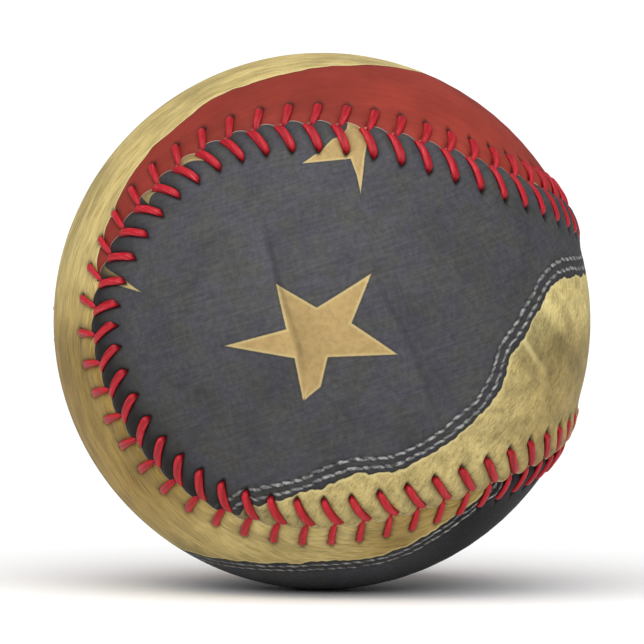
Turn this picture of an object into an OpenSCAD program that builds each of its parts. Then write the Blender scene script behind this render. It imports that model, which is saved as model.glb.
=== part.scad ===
// Laced baseball: a cushioned cork pill, four yarn windings, a cement coat and a
// two-piece leather cover that two strands of thread lace shut along one seam.
// Frame: origin at the ball's centre, +Z up, the front lobe of the cover towards -Y.
// The narrow waists of the two cover pieces lie on +X and -X. Units are millimetres.

/* [Pill] */
// Diameter of the cork core
cork_d = 20.6; // [16:0.1:26]
// Wall of each black rubber half shell
black_wall = 4; // [2:0.1:6]
// Thickness of the washer between the black half shells
gasket_t = 1; // [0.5:0.1:2]
// Wall of each red rubber half shell
red_wall = 2.4; // [1:0.1:4]

/* [Windings] */
// Depth of the four-ply grey wool, the first winding
coarse_wool_t = 14.6; // [10:0.1:18]
// Depth of the white wool, the second winding
white_wool_t = 1.8; // [1:0.1:4]
// Depth of the three-ply grey wool, the third winding
fine_wool_t = 2.2; // [1:0.1:4]
// Depth of the cotton finishing yarn, the last winding
cotton_t = 0.4; // [0.2:0.05:1.5]
// Thickness of the cement coat over the windings
cement_t = 0.1; // [0.05:0.01:0.3]

/* [Cover] */
// Thickness of the cover leather
leather_t = 1.4; // [1.2:0.05:2]
// Depth that the leather is skived from below along the seam, to bed the hidden thread
skive_depth = 0.75; // [0.7:0.05:0.9]
// Width of the skived margin beyond the stitch holes
skive_margin = 1.2; // [0.8:0.1:2]
// Angle that the seam swings to each side of the ring between the two waists
seam_reach = 66.5; // [60:0.5:70]
// Angle that sets how round the lobes of the cover are
lobe_swell = 21.5; // [16:0.5:26]
// Slit that is left between the two leather edges
seam_slit = 0.16; // [0.05:0.01:0.4]

/* [Lacing] */
// Number of stitches along the seam
stitch_count = 108; // [96:4:116]
// Diameter of the thread in its holes and under the leather
thread_d = 0.8; // [0.5:0.05:0.85]
// Diameter of the thread where a stitch swells over the leather
stitch_d = 1.1; // [0.6:0.05:1.4]
// Distance from the seam to the stitch holes
hole_setback = 4.6; // [3.5:0.1:5.5]
// Distance that a stitch leans forward on its way from hole to seam
stitch_lean = 1.3; // [0.6:0.1:1.6]
// Distance along the seam between the two strands where they cross
strand_spacing = 1; // [0.95:0.05:1.3]
// Room around the thread in holes, notches and beds
thread_clearance = 0.08; // [0.04:0.01:0.1]

/* [Hidden] */
$fn = 96;

// Radii of the layers, from the core outwards
cork_r = cork_d / 2;
black_r = cork_r + black_wall;
red_r = black_r + red_wall;
coarse_r = red_r + coarse_wool_t;
white_r = coarse_r + white_wool_t;
fine_r = white_r + fine_wool_t;
cotton_r = fine_r + cotton_t;
cement_r = cotton_r + cement_t;
cover_r = cement_r + leather_t;

// Thread, and what it passes through
thread_r = thread_d / 2;
stitch_r = stitch_d / 2;
hole_r = thread_r + 1.5 * thread_clearance;
notch_half = strand_spacing / 2 + thread_r + thread_clearance;
notch_depth = thread_r + thread_clearance;
// The thread flattens where it bends into its hidden runs, which lie between the yarn and the skived leather
run_half_t = thread_r * cos(45);
// A hidden run goes straight from seam to hole, so its middle lies deeper than its ends by this much
run_sag = (pow(hole_setback, 2) + pow(stitch_lean + strand_spacing, 2)) / (8 * cement_r);
run_r = cement_r + run_half_t + run_sag + thread_clearance / 4;
// Height above the leather of the bends at the hole and at the seam
bend_lift = thread_r - thread_clearance / 2;
stitch_lift = stitch_r + thread_clearance / 4;
// Share of the setback at which the swollen stretch of a stitch ends, by the hole and by the seam
swell_outer = 0.72;
swell_inner = 0.35;
thread_sides = 6;

// Cutting solids reach past the surfaces that they cut by this much
cut_over = 1;
// Radius of the corners of the cone that cuts a cover panel out, clear of the ball everywhere
cone_r = 2 * cover_r;
// Angle from a waist to the middle of a lobe, along the middle line of a cover panel
lobe_angle = 105;
// One full trip along the seam, in degrees of its own angle
seam_turn = 720;
// Degrees of the seam's angle to each chord of the measured seam
seam_step = 1;

function unit(v) = v / norm(v);

// Point of the seam on a sphere of radius 1, for the seam's own angle
function seam_point(angle) =
    let (swing = seam_reach * cos(angle), turn = angle / 2 + lobe_swell * sin(2 * angle))
    [-sin(swing), -cos(swing) * cos(turn), -cos(swing) * sin(turn)];

// Pairs of distance run along the seam and the seam's angle there, on a sphere of radius 1
seam_table = [
    for (
        angle = 0, run = 0;
        angle <= seam_turn;
        run = run + norm(seam_point(angle + seam_step) - seam_point(angle)), angle = angle + seam_step
    ) [run, angle]
];
seam_length = seam_table[len(seam_table) - 1][0];
function seam_angle(share) = lookup(seam_length * (share - floor(share)), seam_table);

// Directions at a share of the way along the seam: outwards, along the seam, and towards the right panel
function seam_frame(share) =
    let (
        angle = seam_angle(share),
        out = seam_point(angle),
        along = unit(seam_point(angle + seam_step) - seam_point(angle - seam_step))
    )
    [out, along, cross(out, along)];

// Point at a radius, set off by distances along and across the seam that are measured on the leather
function by_seam(frame, along, across, radius) =
    radius * unit(frame[0] + (along * frame[1] + across * frame[2]) / cover_r);

stitch_frames = [for (i = [0:stitch_count - 1]) seam_frame((i + 0.5) / stitch_count)];

// Turns +Z to point along a vector
module along(v) {
    rotate([0, acos(v[2] / norm(v)), atan2(v[1], v[0])]) children();
}

module rod(from, to, r) {
    translate(from) along(to - from) cylinder(h = norm(to - from), r = r);
}

module shell(outer, inner) {
    difference() {
        sphere(outer);
        sphere(inner);
    }
}

// Half of a shell, on the +Z side, cut back from the middle plane by a setback
module half_shell(outer, inner, setback = 0) {
    intersection() {
        shell(outer, inner);
        translate([-outer - cut_over, -outer - cut_over, setback])
            cube([2 * (outer + cut_over), 2 * (outer + cut_over), outer + cut_over]);
    }
}

// Pill
module cork_core() {
    color("peru") sphere(cork_r);
}

module black_shell() {
    color("dimgray") half_shell(black_r, cork_r, gasket_t / 2);
}

module black_shell_gasket() {
    color("firebrick") intersection() {
        shell(black_r, cork_r);
        cube([2 * (black_r + cut_over), 2 * (black_r + cut_over), gasket_t], center = true);
    }
}

module red_shell() {
    color("firebrick") half_shell(red_r, black_r);
}

// Lacing: one stitch goes up through its hole, over the leather and down at the seam.
// Side is 1 on the right panel and -1 on the left one.
function hole_point(i, side, radius) =
    by_seam(stitch_frames[i % stitch_count], -stitch_lean, side * hole_setback, radius);
function seam_dive_point(i, side, radius) =
    by_seam(stitch_frames[i % stitch_count], side * strand_spacing / 2, 0, radius);

// Each entry is a point, the thread's radius there and the direction that its rings keep to
function stitch_path(i, side) =
    let (frame = stitch_frames[i])
    [
        [hole_point(i, side, run_r), thread_r, frame[1]],
        [hole_point(i, side, cover_r + bend_lift), thread_r, frame[1]],
        [
            by_seam(frame, -stitch_lean * swell_outer, side * hole_setback * swell_outer, cover_r + stitch_lift),
            stitch_r, frame[1]
        ],
        [
            by_seam(frame, -stitch_lean * swell_inner, side * hole_setback * swell_inner, cover_r + stitch_lift),
            stitch_r, frame[1]
        ],
        [seam_dive_point(i, side, cover_r + bend_lift), thread_r, frame[1]],
        [seam_dive_point(i, side, run_r), thread_r, frame[1]]
    ];

// A strand changes sides at every stitch, so the other strand has the other leg of each V
function stitch_side(i, strand) = (i + strand) % 2 == 0 ? 1 : -1;
function strand_path(strand) = [
    for (i = [0:stitch_count - 1]) for (entry = stitch_path(i, stitch_side(i, strand))) entry
];

// Closed tube through the entries of a path
module closed_tube(path, sides) {
    count = len(path);
    points = [
        for (i = [0:count - 1])
        let (
            ahead = unit(path[(i + 1) % count][0] - path[i][0]),
            behind = unit(path[i][0] - path[(i + count - 1) % count][0]),
            heading = unit(ahead + behind),
            level = unit(path[i][2] - (path[i][2] * heading) * heading),
            upright = cross(heading, level)
        )
        for (k = [0:sides - 1])
        path[i][0] + path[i][1] * (cos(360 * k / sides) * level + sin(360 * k / sides) * upright)
    ];
    faces = [
        for (i = [0:count - 1]) for (k = [0:sides - 1])
        let (
            a = i * sides + k,
            b = i * sides + (k + 1) % sides,
            c = ((i + 1) % count) * sides + (k + 1) % sides,
            d = ((i + 1) % count) * sides + k
        )
        for (face = [[a, c, b], [a, d, c]]) face
    ];
    polyhedron(points, faces);
}

module lacing_strand(strand) {
    color("crimson") closed_tube(strand_path(strand), thread_sides);
}

// Windings
module coarse_grey_wool() {
    color("gray") shell(coarse_r, red_r);
}

module white_wool() {
    color("ivory") shell(white_r, coarse_r);
}

module fine_grey_wool() {
    color("darkgray") shell(fine_r, white_r);
}

module cotton_winding() {
    color("white") shell(cotton_r, fine_r);
}

module cement_coat() {
    color("wheat") shell(cement_r, cotton_r);
}

// Cover: the cone from the ball's centre through the right panel's outline, set back from the seam.
// The profile holds the outline's corners at one stitch, each as a distance along the seam and a setback.
module panel_cone(profile) {
    corners = len(profile);
    count = stitch_count * corners;
    rim = [
        for (frame = stitch_frames) for (corner = profile)
        by_seam(frame, corner[0], corner[1], cone_r)
    ];
    middle = [
        for (i = [0:count / 2])
        let (turn = lobe_angle * cos(seam_angle(i / count) / 2))
        cone_r * [cos(turn), -sin(turn), 0]
    ];
    function middle_index(i) = 1 + count + min(i % count, count - i % count);
    sides = [for (i = [0:count - 1]) [0, 1 + i, 1 + (i + 1) % count]];
    cap = [
        for (i = [0:count - 1])
        let (a = 1 + i, b = 1 + (i + 1) % count, c = middle_index(i + 1), d = middle_index(i))
        for (face = [[a, c, b], [a, d, c]]) face
    ];
    polyhedron(concat([[0, 0, 0]], rim, middle), concat(sides, cap));
}

// The edge of the leather, with a notch at each stitch for the two strands that cross there
module edge_cone() {
    edge = seam_slit / 2;
    panel_cone([[-notch_half, edge], [-notch_half, notch_depth], [notch_half, notch_depth], [notch_half, edge]]);
}

module skive() {
    difference() {
        shell(cement_r + skive_depth, cement_r - cut_over);
        panel_cone([[0, hole_setback + skive_margin]]);
    }
}

// One cover panel in the right panel's place, its stitch holes set off along the seam by a lean
module cover_panel(lean) {
    difference() {
        intersection() {
            shell(cover_r, cement_r);
            edge_cone();
        }
        skive();
        for (frame = stitch_frames)
            rod(
                by_seam(frame, lean, hole_setback, cement_r - cut_over),
                by_seam(frame, lean, hole_setback, cover_r + cut_over),
                hole_r
            );
    }
}

module right_cover_panel() {
    color("darkslateblue") cover_panel(-stitch_lean);
}

// Half a turn about an axis through the seam takes one panel to the other and runs the seam backwards
module left_cover_panel() {
    color("tan") rotate([90, 0, 180]) cover_panel(stitch_lean);
}

cork_core();
black_shell();  // upper_black_shell
mirror([0, 0, 1]) black_shell();  // lower_black_shell
black_shell_gasket();
rotate([0, -90, 0]) red_shell();  // left_red_shell
rotate([0, 90, 0]) red_shell();  // right_red_shell
coarse_grey_wool();
white_wool();
fine_grey_wool();
cotton_winding();
cement_coat();
right_cover_panel();
left_cover_panel();
lacing_strand(0);  // first_lacing_strand
lacing_strand(1);  // second_lacing_strand
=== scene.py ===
"""Laced baseball with a faded stars and stripes print, dressed on its CAD frame."""

import math

import bpy
import numpy as np
from mathutils import Matrix, Vector


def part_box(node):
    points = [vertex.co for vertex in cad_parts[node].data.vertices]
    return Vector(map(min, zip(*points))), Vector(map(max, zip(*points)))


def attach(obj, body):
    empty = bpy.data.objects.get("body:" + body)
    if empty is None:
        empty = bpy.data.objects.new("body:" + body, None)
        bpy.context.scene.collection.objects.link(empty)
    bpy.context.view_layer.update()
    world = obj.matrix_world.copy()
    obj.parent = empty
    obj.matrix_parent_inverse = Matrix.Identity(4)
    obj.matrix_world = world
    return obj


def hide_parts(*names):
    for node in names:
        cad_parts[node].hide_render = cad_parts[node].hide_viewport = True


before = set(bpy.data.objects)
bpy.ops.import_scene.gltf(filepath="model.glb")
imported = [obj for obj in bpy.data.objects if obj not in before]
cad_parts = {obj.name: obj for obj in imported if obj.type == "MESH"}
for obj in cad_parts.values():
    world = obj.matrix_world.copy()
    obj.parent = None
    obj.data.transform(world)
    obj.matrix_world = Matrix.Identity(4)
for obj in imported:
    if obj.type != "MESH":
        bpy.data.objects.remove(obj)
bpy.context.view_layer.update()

bl_info = {
    "name": "Laced baseball",
    "version": (1, 0, 0),
    "blender": (4, 5, 0),
    "location": "View3D > Sidebar > Baseball",
    "description": "Leather cover, lacing, windings and studio stage for the laced baseball",
    "category": "Object",
}

MM = 0.001

# Seam of the cover: how far it swings from the ring between the waists, and how round the lobes are
SEAM_REACH = math.radians(66.5)
LOBE_SWELL = math.radians(21.5)
# How far round from the waist the middle line of a panel reaches into its lobes
LOBE_MIDDLE = math.radians(105)
STITCHES = 108
# The stitches lie a little further apart round the front lobe than round the back one: largest shift, in
# stitches
STITCH_SHIFT = 0.3

# Mesh of a leather panel: its columns along the seam
COLUMNS_PER_STITCH = 16
# Its rings, as distances from its edge in millimetres, on its underside and on its face
UNDER_RINGS = (8.3, 6.6, 5.6, 1.2, 0.0)
FACE_RINGS = (
    0.0, 0.08, 0.2, 0.36, 0.56, 0.8, 1.1, 1.4, 1.75, 2.1, 2.5, 2.9, 3.3, 3.65, 4.0, 4.3, 4.6, 4.9, 5.25,
    5.65, 6.1, 6.7, 7.4, 8.3,
)
# Its rings from there to its middle line
UNDER_MIDDLE_RINGS = 4
FACE_MIDDLE_RINGS = 10
# Distances from the edge between which the skived leather gets its full thickness, in millimetres
SKIVE_SPAN = (5.7, 6.5)

THREAD_SIDES = 16
# Length of thread in which its two plies wind once round each other, in millimetres
PLY_TURN = 26.0
# Turns of yarn that stand out on each winding, and how far each turn of four sinks below the last, in yarns
YARN_TURNS = 24
YARN_SINK = 0.18

# Edge of the blue field on the right panel: degrees round from the waist, degrees up
RIGHT_FIELD_EDGE = (
    (-38, 34), (-22, 24), (-8, 16), (6, 12), (21, 10.5), (32, 10.5), (41.5, 9), (48.5, 4), (55, -3),
    (58, -6.5), (58.5, -10), (62, -17), (68, -22.5), (74.5, -27.5), (83, -31.5), (94, -32.5),
    (104.5, -37), (114.5, -39.5), (120.5, -40.5), (128, -44), (140, -49),
)
# The same on the left panel: degrees up from the waist, degrees towards the back
LEFT_FIELD_EDGE = (
    (-44, 60), (-46, 44), (-50, 28), (-54, 12), (-57.5, -1.5), (-61.5, -11), (-70, -21), (-83, -29),
    (-100, -32), (-107.5, -34.5), (-115, -37), (-122.5, -39), (-129, -40), (-137, -41.5), (-146, -43),
)
# Beyond these places along each panel laid flat, in millimetres, there is no field
RIGHT_FIELD_END = 90
LEFT_FIELD_END = -20
# Edges of the left panel's two stripes, in the same degrees, and how far along it they start
LEFT_STRIPE_EDGE = (
    (10, -23), (22, -21), (28.5, -20), (35, -19.5), (42, -19), (49.5, -20), (59, -18.5), (68.5, -20),
    (79, -20.5), (90, -19), (96.5, -17), (106, -12.5), (111, -7.5), (117, 4), (121, 18), (124, 34),
    (126, 54),
)
BACK_STRIPE_EDGE = (
    (3, 25), (14, 22.5), (28, 20.5), (42, 19), (58, 19.5), (74, 21), (90, 25), (104, 33), (112, 44),
    (116, 58),
)
LEFT_STRIPE_START = 6
# Two stripes on the back lobe of the right panel: distance of each from the lobe's middle, half its width,
# how far along the panel it starts and the slant of that start
LOBE_STRIPE_OFFSET = 13
LOBE_STRIPE_HALF = 6.5
LOBE_STRIPE_START = 66
LOBE_STRIPE_SLANT = 0.5
# Folds of the right panel, two in the blue field and two in the ground: the line of each, from top to
# bottom, the millimetres in which it sets in and those in which it dies out, and its depth
FOLDS = {
    "star_fold": (
        (
            (114.6, 23), (113.2, 18.6), (110.7, 10.8), (109.8, 7.5), (108.2, 2.8), (106.6, -1.7),
            (105.4, -6.2), (104.8, -12),
        ),
        3, 5, 1.0,
    ),
    "side_fold": (
        ((92.5, 25), (91, 17.5), (89, 8.2), (86.2, 2.6), (83.5, -2.2), (79, -11.5), (75, -20.5)),
        16, 5, 0.55,
    ),
    "ground_fold": (
        (
            (60, 4), (57.5, 1), (55.5, -1.3), (53.4, -3.5), (49.9, -6.7), (44.2, -10.6), (37.2, -15),
            (30, -22),
        ),
        1, 8, 1.0,
    ),
    "waist_fold": (
        (
            (54, 7.5), (51.4, 4.9), (49.6, 3), (45.3, -0.4), (38.4, -4.7), (31, -8.1), (21, -10.7),
            (12, -12),
        ),
        4, 8, 1.0,
    ),
}
# Corners of the middle star, point and hollow in turn, in millimetres on the right panel laid flat
MIDDLE_STAR = (
    (-0.6, 7.1), (-7.9, 2.5), (-13.4, 5.6), (-11.9, -0.4), (-20.3, -2.7),
    (-10.8, -4.2), (-9.7, -9.9), (-6.4, -4.0), (3.0, -3.6), (-3.3, 0.5),
)
# The blunt foot of the middle star, and arms of stars that the seam cuts off: hollow, point, hollow, middle
RIGHT_ARMS = (
    ((-6.4, -4.0), (-7.3, -8.0), (-8.0, -8.6), (-8.0, -5.0)),
    ((-2.0, 24.0), (-10.6, 23.1), (-2.7, 28.9), (-0.3, 31.3)),
    ((-2.7, 24.2), (-1.55, 20.2), (0.5, 26.5), (-0.6, 31.3)),
    ((-1.95, 22.0), (-1.5, 18.6), (-0.75, 22.0), (-1.3, 24.0)),
    ((-32.0, 22.3), (-26.7, 23.4), (-34.9, 27.3), (-35.8, 24.0)),
    ((-34.95, 17.6), (-35.4, 16.3), (-42.2, 20.1), (-38.2, 20.6)),
    ((-44.2, 9.0), (-34.0, 4.3), (-42.7, 5.9), (-47.0, 8.2)),
    ((31.6, 22.1), (34.2, 19.6), (38.1, 22.8), (36.0, 26.0)),
)
# Whole stars under the ball: middle in millimetres on the left panel laid flat, turn in degrees
LEFT_STARS = (((-60.0, 8.0), 12), ((-78.0, 28.0), 50))
# Reach of their points along and across the panel in millimetres, and of their hollows as a share of that
STAR_REACH = (10.6, 7.9)
STAR_HOLLOW = 0.37
# What the colour of the ground is multiplied by where it has browned and where painted shade darkens it
# under the ball, and where it stays as it is
BROWNING_AND_SHADE = (0.58, 0.48, 0.31)
PLAIN = (1.0, 1.0, 1.0)

# Name, strength, width in degrees and direction of each light, and the sky's strength as light and as seen
LIGHTS = (
    ("key light", 3.5, 80, (0.22, 0.61, -0.76)),
    ("front light", 0.5, 100, (0.1, 1.0, 0.0)),
)
SKY_LIGHT = 0.3
SKY_SEEN = 1.1
# Floor: its radius and the gap under the ball, in metres
FLOOR_RADIUS = 12.0
FLOOR_GAP = 0.05 * MM
# Camera: direction from the ball, distance in ball radii, roll in degrees, lens and film in millimetres,
# and shift as a share of the film
CAMERA_SIDE = (-0.192, -0.981, 0.020)
CAMERA_DISTANCE = 21.3
CAMERA_ROLL = 0.5
CAMERA_LENS = 319.3
CAMERA_FILM = 36
CAMERA_SHIFT = -0.0013


def length(name, description, millimetres):
    """A size that a user can change."""
    return bpy.props.FloatProperty(
        name=name, description=description, default=millimetres * MM, unit="LENGTH"
    )


def colour(name, description, rgb):
    """A colour that a user can change."""
    return bpy.props.FloatVectorProperty(
        name=name, description=description, default=rgb, subtype="COLOR", size=3, min=0.0, max=1.0
    )


class BallSizes(bpy.types.PropertyGroup):
    """Sizes of the cover and its lacing"""

    cover_radius: length("Cover radius", "Radius of the leather away from the seam", 37.2)
    ridge_height: length("Ridge height", "How far the seam stands above the ball", 0.45)
    ridge_reach: length("Ridge reach", "Distance from the seam to the foot of its ridge", 6.4)
    leather: length("Leather", "Thickness of the leather in the middle of a panel", 1.4)
    skived: length("Skived leather", "Thickness of the leather along the seam", 0.65)
    hole_setback: length("Hole setback", "Distance from the seam to the hole of a stitch", 4.2)
    right_lean: length("Right lean", "How far a stitch on the right panel leans back at its hole", 1.3)
    left_lean: length("Left lean", "How far a stitch on the left panel leans back at its hole", 0.8)
    right_lead: length("Right lead", "How far ahead of the V a stitch on the right panel ends", 0.75)
    left_lead: length("Left lead", "How far ahead of the V a stitch on the left panel ends", -0.2)
    scallop: length("Scallop", "How far the right panel bows over the left one between stitches", 0.8)
    thread_width: length("Thread width", "Width of a stitch at its fullest", 1.24)


class BallColours(bpy.types.PropertyGroup):
    """Colours of the print, the thread and the inside"""

    navy: colour("Field", "Faded blue of the field", (0.056, 0.0555, 0.06))
    navy_dark: colour("Field, dark", "Blue of the field where it is less worn", (0.039, 0.039, 0.044))
    ground: colour("Ground", "Aged cloth between the stripes", (0.46, 0.355, 0.13))
    ground_dark: colour("Ground, dark", "Aged cloth in its folds", (0.28, 0.2, 0.062))
    ground_light: colour("Ground, light", "Aged cloth where it is rubbed", (0.64, 0.545, 0.26))
    red: colour("Stripe", "Red of the stripes", (0.22, 0.028, 0.018))
    star: colour("Star", "Aged cloth of the stars", (0.355, 0.245, 0.1))
    sewing: colour("Sewing", "Pale thread of the sewn rows", (0.35, 0.35, 0.34))
    cut_edge: colour("Cut edge", "Bare edge of the leather", (0.55, 0.5, 0.44))
    # Painted shade colour: darkens the stitch holes, the leather beside the stitches, the seam and the
    # underside
    seam_shade_tint: colour("Painted seam shade", "Painted shade in the stitch holes, beside the stitches, along the seam and on the underside", (0.01, 0.009, 0.008))
    thread: colour("Lacing", "Waxed thread of the lacing", (0.385, 0.0072, 0.016))
    # Painted highlight colour, laid on the crowns of the plies
    thread_highlight: colour("Lacing, highlight", "Painted highlight on the crowns of the plies", (0.66, 0.14, 0.155))
    grey_yarn: colour("Grey wool", "Yarn of the first and third windings", (0.27, 0.27, 0.28))
    white_yarn: colour("White wool", "Yarn of the second winding", (0.72, 0.69, 0.61))
    cotton: colour("Cotton", "Finishing yarn", (0.8, 0.78, 0.72))
    cork: colour("Cork", "Moulded cork of the core", (0.42, 0.25, 0.12))
    black_rubber: colour("Black rubber", "Inner shells of the core", (0.025, 0.025, 0.027))
    red_rubber: colour("Red rubber", "Outer shells of the core", (0.38, 0.05, 0.04))
    cement: colour("Cement", "Dried film under the leather", (0.68, 0.58, 0.36))
    floor: colour("Floor", "Studio floor", (0.96, 0.96, 0.96))


# Shapes on the ball


def unit(vectors):
    """Vectors brought to length one."""
    return vectors / np.linalg.norm(vectors, axis=-1, keepdims=True)


def step(low, high, value):
    """Smooth change from 0 to 1 as a value goes from low to high."""
    x = np.clip((value - low) / (high - low), 0.0, 1.0)
    return x * x * (3 - 2 * x)


def hump(value, width):
    """Bell that is 1 at zero and dies out beyond its width."""
    return np.exp(-((value / width) ** 2))


def seam_point(angle):
    """Direction from the ball's centre to the seam, which closes after two turns of its angle."""
    swing = SEAM_REACH * np.cos(angle)
    turn = angle / 2 + LOBE_SWELL * np.sin(2 * angle)
    return np.stack(
        (-np.sin(swing), -np.cos(swing) * np.cos(turn), -np.cos(swing) * np.sin(turn)), axis=-1
    )


SEAM_ANGLES = np.linspace(0, 4 * math.pi, 5761)
SEAM_RUNS = np.concatenate(
    ([0.0], np.cumsum(np.linalg.norm(np.diff(seam_point(SEAM_ANGLES), axis=0), axis=1)))
)


def seam_angle(share):
    """Angle of the seam's curve at a share of the way along it."""
    return np.interp(np.mod(share, 1.0) * SEAM_RUNS[-1], SEAM_RUNS, SEAM_ANGLES)


def seam_share(stitch):
    """Share of the way along the seam of a place counted in stitches."""
    return (stitch + STITCH_SHIFT * np.sin(2 * math.pi * stitch / STITCHES)) / STITCHES


def seam_frames(share):
    """Directions outwards, along the seam and towards the right panel, at shares of the way along it."""
    angle = seam_angle(share)
    out = seam_point(angle)
    along = unit(seam_point(angle + 0.001) - seam_point(angle - 0.001))
    return out, along, np.cross(out, along)


def middle_line(side, angle):
    """Middle line of a panel, opposite each point of the seam."""
    turn = LOBE_MIDDLE * (np.cos(angle / 2) if side > 0 else np.sin(angle / 2))
    level = np.zeros_like(turn)
    if side > 0:
        return np.stack((np.cos(turn), -np.sin(turn), level), axis=-1)
    return np.stack((-np.cos(turn), level, -np.sin(turn)), axis=-1)


def stitch_pitch(sizes):
    """Distance along the seam from one stitch to the next."""
    return SEAM_RUNS[-1] * sizes.cover_radius / STITCHES


def leg_along(sizes, side, setback):
    """How far along the seam from its V a stitch is, at a distance from the seam."""
    share = np.minimum(setback / sizes.hole_setback, 1.0)
    lead = sizes.right_lead if side > 0 else sizes.left_lead
    lean = sizes.right_lean if side > 0 else sizes.left_lean
    return lead * (1 - share) - lean * share - 0.15 * MM * np.sin(math.pi * share)


def off_leg(sizes, side, setback, along):
    """Distance along the seam from the middle of the nearest stitch, in millimetres."""
    pitch = stitch_pitch(sizes)
    off = along - leg_along(sizes, side, setback)
    return ((off + pitch / 2) % pitch - pitch / 2) / MM


def ridge(sizes, setback):
    """Height of the seam's ridge at a distance from the seam."""
    return sizes.ridge_height * (0.5 + 0.5 * np.cos(math.pi * np.clip(setback / sizes.ridge_reach, 0, 1)))


def leather_rise(sizes, side, setback, along):
    """Height of the leather above the ball, at a distance from its edge and along the seam from a V."""
    off = off_leg(sizes, side, setback, along)
    from_hole = (setback - sizes.hole_setback) / MM
    from_edge = setback / MM
    between_stitches = 0.5 - 0.5 * np.cos(2 * math.pi * off * MM / stitch_pitch(sizes))
    # The right panel, on top, is drawn in deeper at its stitches, and its edge rolls down less
    edge_roll, groove, pillow = (0.3, 0.42, 0.45) if side > 0 else (0.45, 0.25, 0.12)
    hole_depth, tail_depth = 0.7, 0.3
    rise = -edge_roll * (1 - np.clip(from_edge / 2.0, 0, 1)) ** 2
    rise = rise - groove * hump(off, 0.7) * step(0.0, 0.4, from_edge) * (1 - step(-0.6, 0.3, from_hole))
    rise = rise + pillow * between_stitches * step(0.0, 1.4, from_edge) * (1 - step(-2.2, 2.2, from_hole))
    rise = rise - hole_depth * hump(off, 0.45) * hump(from_hole - 0.1, 0.42)
    rise = rise - tail_depth * hump(off, 0.32) * hump(from_hole - 0.7, 0.45)
    return ridge(sizes, setback) + rise * MM


def seam_shading(sizes, side, setback, along, stitch):
    """Painted shade on the leather: black in the stitch holes, fainter beside the stitches and towards the
    seam.
    """
    off = off_leg(sizes, side, setback, along)
    from_hole = (setback - sizes.hole_setback) / MM
    from_edge = setback / MM
    hole = 1.2 * hump(off, 0.5) * hump(from_hole - 0.1, 0.5)
    tail = 1.2 * hump(off, 0.3) * hump(from_hole - 0.7, 0.5)
    beside = hump(off, 0.85) * step(0.1, 0.8, from_edge) * (1 - step(-0.3, 1.0, from_hole))
    if side < 0:
        return np.clip(hole + 0.7 * tail + 0.35 * beside, 0, 0.96)
    # More painted shade lies at the left of the front lobe, and most of it at the lower left, where the
    # lobe turns from the light
    round_seam = (stitch + STITCHES / 2) % STITCHES - STITCHES / 2
    lower_left_shade = 0.88 * hump(from_edge, 6.3) * hump(round_seam - 4.5, 5)
    along_seam = (0.12 + 0.68 * hump(round_seam - 0.5, 7)) * hump(from_edge, 3.4)
    return np.clip(hole + tail + 0.4 * beside + lower_left_shade + along_seam, 0, 0.96)


def smooth_curve(points, steps=16):
    """Points of a smooth curve through the given ones."""
    points = np.asarray(points, dtype=float)
    ends = np.concatenate(([2 * points[0] - points[1]], points, [2 * points[-1] - points[-2]]))
    t = np.linspace(0, 1, steps, endpoint=False)[:, None]
    parts = [through(*ends[i : i + 4], t) for i in range(len(points) - 1)]
    return np.concatenate(parts + [points[-1:]])


def through(a, b, c, d, t):
    """Smooth stretch from b to c of a curve that comes from a and goes on to d."""
    cubic = 3 * b - a - 3 * c + d
    return 0.5 * (2 * b + (c - a) * t + (2 * a - 5 * b + 4 * c - d) * t**2 + cubic * t**3)


def panel_direction(side, degrees):
    """Direction on the ball for degrees round a panel and degrees across it."""
    turn, lift = np.radians(np.asarray(degrees, dtype=float)).T
    round_x, round_y, up = np.cos(lift) * np.cos(turn), np.cos(lift) * np.sin(turn), np.sin(lift)
    if side > 0:
        return np.stack((round_x, -round_y, up), axis=-1)
    return np.stack((-round_x, up, round_y), axis=-1)


def panel_flat(side, points, radius):
    """Place on a panel laid flat, in millimetres, of points on the ball; the third number is one."""
    d = unit(points)
    if side > 0:
        x = math.pi / 2 - np.arctan2(-d[:, 1], d[:, 0])
        y = np.arcsin(np.clip(d[:, 2], -1, 1))
    else:
        x = np.arctan2(d[:, 2], -d[:, 0])
        y = np.arcsin(np.clip(d[:, 1], -1, 1))
    scale = radius / MM
    return np.stack((x * scale, y * scale, np.ones_like(x)), axis=-1)


def curve_distance(points, curve, radius):
    """Distance from a curve in millimetres, positive on its left, and the run along it."""
    scale = radius / MM
    d = unit(points)
    spans = np.diff(curve, axis=0)
    lengths = np.linalg.norm(spans, axis=1)
    runs = np.concatenate(([0.0], np.cumsum(lengths)))
    best = np.full(len(d), 9.0)
    sign = np.ones(len(d))
    run = np.zeros(len(d))
    for start, span, length_here, at in zip(curve, spans, lengths, runs):
        off = d - start
        t = np.clip(off @ span / length_here**2, 0, 1)
        distance = np.linalg.norm(off - t[:, None] * span, axis=1)
        closer = distance < best
        best[closer] = distance[closer]
        run[closer] = at + t[closer] * length_here
        sign[closer] = np.sign(np.einsum("ij,ij->i", np.cross(span, off[closer]), d[closer]))
    return sign * best * scale, run * scale


# Modelling


def start_clean():
    """Leaves edit mode and deselects everything."""
    if bpy.context.object and bpy.context.object.mode != "OBJECT":
        bpy.ops.object.mode_set(mode="OBJECT")
    bpy.ops.object.select_all(action="DESELECT")


def add_grid(name, columns, rows):
    """A flat grid to be wrapped round, and the column and row of each of its points."""
    start_clean()
    bpy.ops.mesh.primitive_grid_add(x_subdivisions=columns, y_subdivisions=rows, size=2)
    obj = bpy.context.object
    obj.name = name
    obj.data.name = name
    shares = (points_of(obj)[:, :2] + 1) / 2
    return obj, np.rint(shares[:, 0] * columns).astype(int), np.rint(shares[:, 1] * rows).astype(int)


def points_of(obj):
    points = np.empty(len(obj.data.vertices) * 3)
    obj.data.vertices.foreach_get("co", points)
    return points.reshape(-1, 3)


def place_points(obj, points):
    obj.data.vertices.foreach_set("co", np.asarray(points, dtype=np.float32).ravel())
    obj.data.update()


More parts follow.
